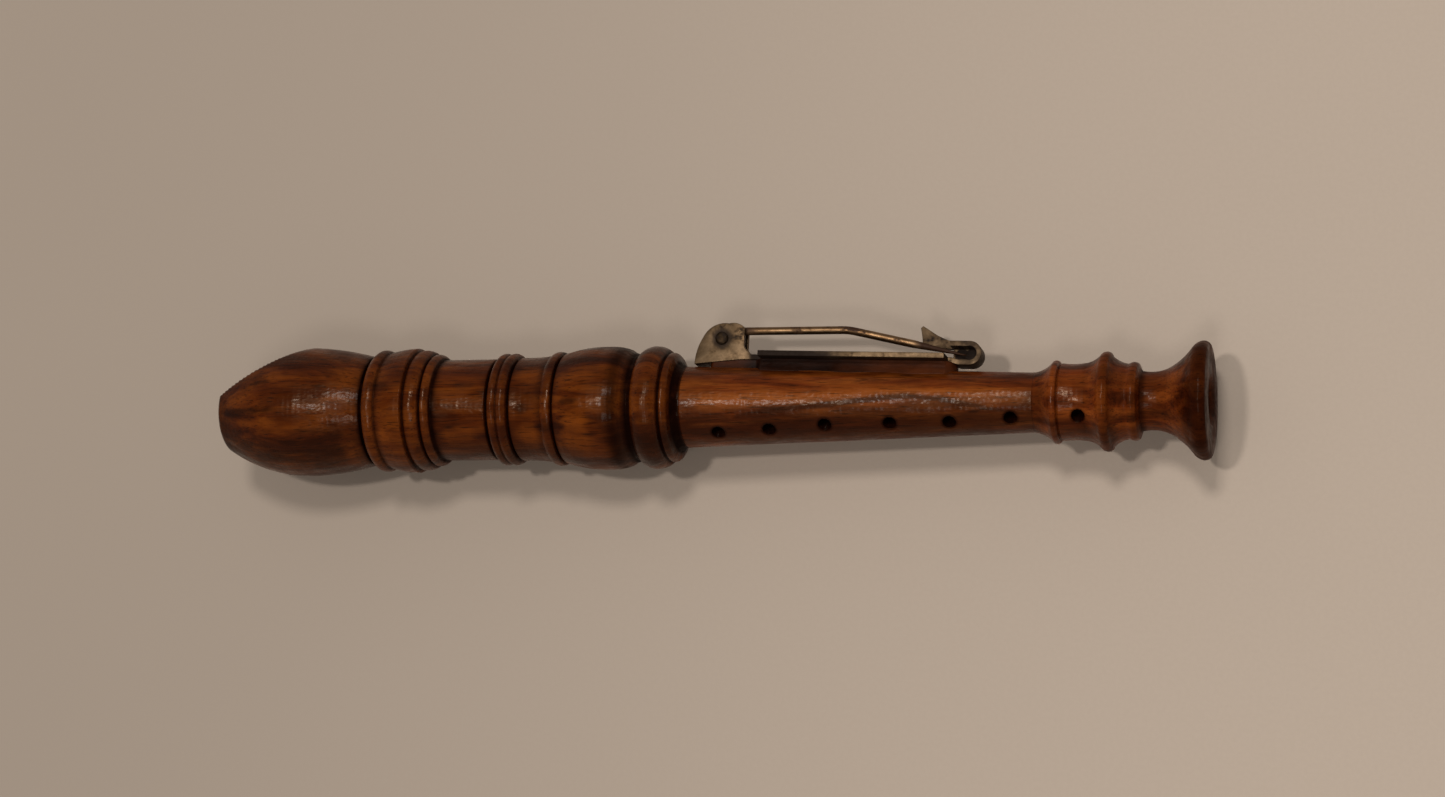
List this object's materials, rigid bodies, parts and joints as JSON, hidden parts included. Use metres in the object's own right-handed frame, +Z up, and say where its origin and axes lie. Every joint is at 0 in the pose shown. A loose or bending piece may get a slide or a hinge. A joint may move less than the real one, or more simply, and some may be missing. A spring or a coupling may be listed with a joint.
{
  "type": "miniature recorder brooch",
  "caption": "Turned wooden miniature of a recorder with beads, burnt grooves, finger holes and a flared bell, worn as a brooch on a riveted metal bar pin",
  "frame": {"origin": "bottom centre of the bounding box, on the table the brooch lies on", "axes": "+X along the recorder from beak to bell, +Y to the side that carries the bar pin, +Z up; modelled as it lies, pin closed"},
  "size_m": [0.0866, 0.0128, 0.0113],
  "materials": {
    "head_wood": "dark reddish-brown varnished hardwood, burnt grooves",
    "middle_wood": "lighter tan-brown hardwood, satin varnish",
    "foot_wood": "orange-brown varnished hardwood, burnt grooves",
    "pin_sheet": "dull nickel-plated sheet with brown tarnish",
    "rivet_metal": "tarnished plated rivet",
    "pin_wire": "bright plated steel wire",
    "glue": "dark brown hardened glue"
  },
  "bodies": {
    "brooch": {"head_joint": "head_wood", "middle_joint": "middle_wood", "foot_joint": "foot_wood", "pin_back": "pin_sheet", "glue_bed": "glue"},
    "rivet": {"hinge_rivet": "rivet_metal"},
    "pin": {"pin_stem": "pin_wire"}
  },
  "joints": [
    {"name": "pin_swing", "type": "hinge", "parent": "brooch", "child": "rivet", "pos_m": [0.00184, 0.00502, 0.00529], "axis": [0.0095, 0, 1], "range_deg": [0, 170]},
    {"name": "pin_side_spring", "type": "hinge", "parent": "rivet", "child": "pin", "pos_m": [0.00184, 0.00502, 0.00529], "axis": [-0.0319, -0.9995, 0.0003], "range_deg": [0, 3.2], "stiffness_Nm_per_rad": 0.3}
  ]
}
